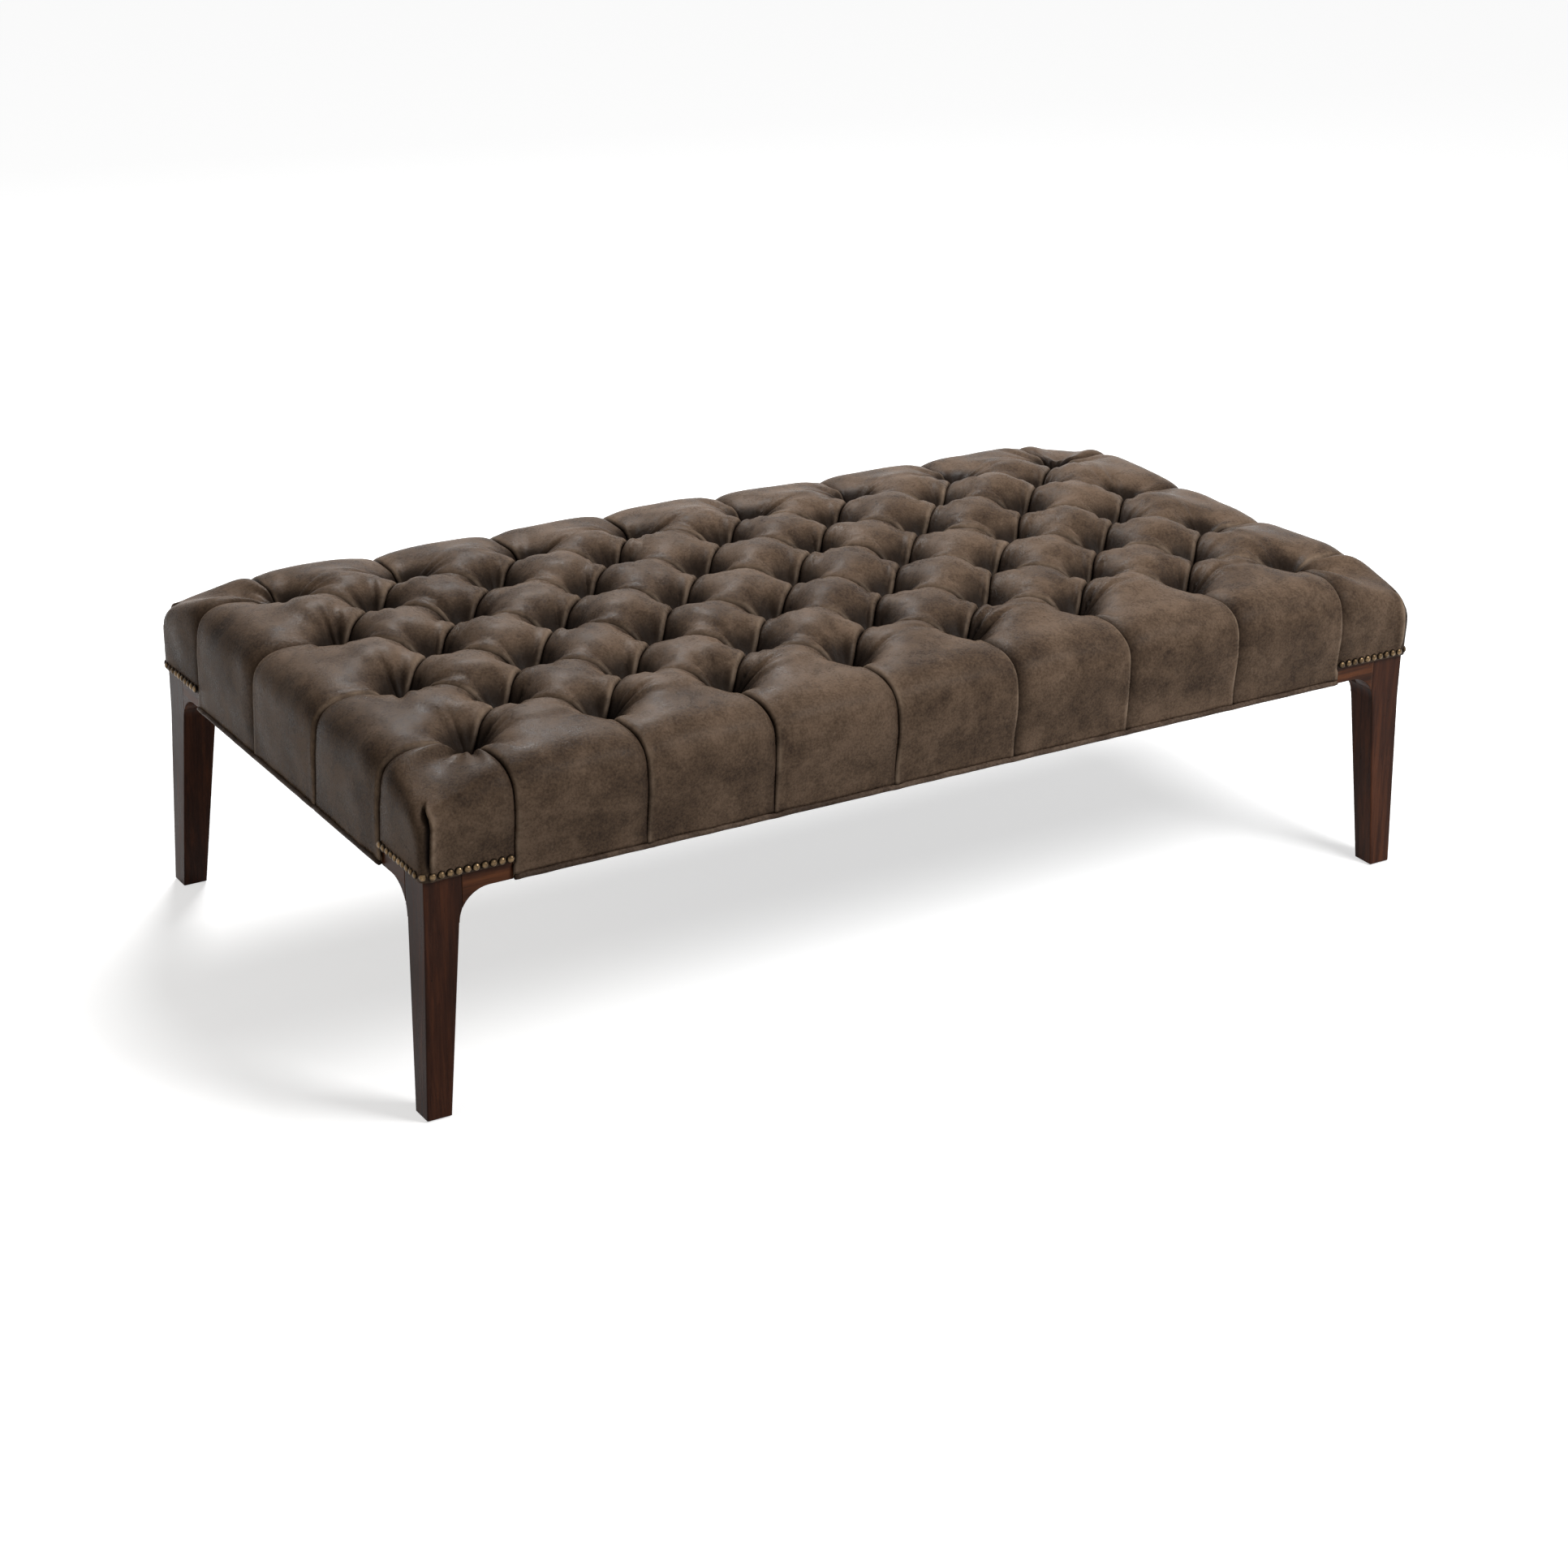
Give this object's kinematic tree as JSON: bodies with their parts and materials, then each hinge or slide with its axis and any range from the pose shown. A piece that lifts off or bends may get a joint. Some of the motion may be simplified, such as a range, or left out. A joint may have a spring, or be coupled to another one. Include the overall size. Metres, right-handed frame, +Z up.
{
  "type": "tufted leather ottoman",
  "caption": "Long low ottoman with a deep-buttoned leather top, piped lower edge, domed nail trim at the corners and tapered dark wood legs with curved brackets.",
  "frame": {"origin": "centre of the footprint, on the floor", "axes": "+Z up, +X along the length, -Y towards the front long side"},
  "size_m": [1.4154, 0.7454, 0.43],
  "materials": {
    "mahogany": "dark mahogany stain under satin lacquer, edges darker, light distressing",
    "frame_hardwood": "bare planed beech",
    "plywood": "bare plywood, 12 mm",
    "zinc_screws": "zinc plated",
    "foam": "cream upholstery foam",
    "wadding": "white polyester wadding",
    "leather": "waxed, distressed taupe brown leather, satin, lighter on worn ridges",
    "twine": "waxed nylon twine",
    "staple_wire": "galvanised wire",
    "antique_brass": "antique brass, darkened in the recesses, polished on the domes",
    "black_cloth": "black non-woven cloth",
    "glide_plastic": "black nylon"
  },
  "bodies": {
    "root": {"leg_front_left": "mahogany", "leg_front_right": "mahogany", "leg_back_left": "mahogany", "leg_back_right": "mahogany", "bracket_front_left_long": "mahogany", "bracket_front_left_short": "mahogany", "bracket_front_right_long": "mahogany", "bracket_front_right_short": "mahogany", "bracket_back_left_long": "mahogany", "bracket_back_left_short": "mahogany", "bracket_back_right_long": "mahogany", "bracket_back_right_short": "mahogany", "rail_front": "frame_hardwood", "rail_back": "frame_hardwood", "rail_left": "frame_hardwood", "rail_right": "frame_hardwood", "cross_rail_left": "frame_hardwood", "cross_rail_right": "frame_hardwood", "corner_block_front_left": "frame_hardwood", "corner_block_front_right": "frame_hardwood", "corner_block_back_left": "frame_hardwood", "corner_block_back_right": "frame_hardwood", "rail_dowels": "frame_hardwood", "bracket_dowels": "frame_hardwood", "plywood_deck": "plywood", "corner_screws": "zinc_screws", "deck_screws": "zinc_screws", "foam_pad": "foam", "side_wadding": "wadding", "leather_cover": "leather", "tuft_buttons": "leather", "piping_front": "leather", "piping_back": "leather", "piping_left": "leather", "piping_right": "leather", "tuft_twines": "twine", "twine_staples": "staple_wire", "dust_cover_staples": "staple_wire", "nails_front_left": "antique_brass", "nails_front_right": "antique_brass", "nails_back_left": "antique_brass", "nails_back_right": "antique_brass", "dust_cover": "black_cloth", "glide_front_left": "glide_plastic", "glide_front_right": "glide_plastic", "glide_back_left": "glide_plastic", "glide_back_right": "glide_plastic"}
  },
  "joints": []
}
